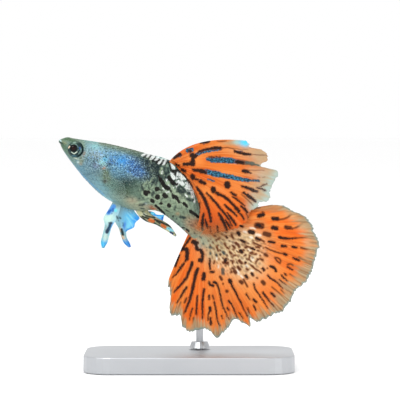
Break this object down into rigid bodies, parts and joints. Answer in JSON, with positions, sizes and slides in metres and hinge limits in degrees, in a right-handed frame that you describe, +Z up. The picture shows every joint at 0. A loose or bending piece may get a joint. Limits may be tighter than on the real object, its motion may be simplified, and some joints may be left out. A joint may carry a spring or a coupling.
{
  "type": "fancy guppy display model",
  "caption": "Life-size male fancy guppy with fan tail, draped back fin and raised fin rays, held over a flat plate by a bent rod.",
  "frame": {"origin": "centre of the underside of the stand's base plate", "axes": "+Z up, +X from the fish's head towards its tail, along the longest extent, and -Y towards the viewer and the fish's left side"},
  "size_m": [0.0474, 0.022, 0.042],
  "materials": {
    "blue_silver_skin": "wet scaly sheen",
    "spotted_skin": "wet scaly sheen",
    "eye": "wet gloss",
    "orange_fin": "satin membrane",
    "clear_fin": "clear membrane",
    "pale_blue_fin": "satin membrane",
    "barred_rod_fin": "satin membrane",
    "stand_plate": "satin",
    "stand_steel": "polished"
  },
  "bodies": {
    "root": {"head": "blue_silver_skin", "torso": "blue_silver_skin", "tail_stem": "spotted_skin", "eye_left": "eye", "eye_right": "eye", "back_fin": "orange_fin", "tail_fin": "orange_fin", "pectoral_fin_left": "clear_fin", "pectoral_fin_right": "clear_fin", "belly_fin_left": "pale_blue_fin", "belly_fin_right": "pale_blue_fin", "gonopodium": "barred_rod_fin", "stand_base": "stand_plate", "stand_rod": "stand_steel"}
  },
  "joints": []
}
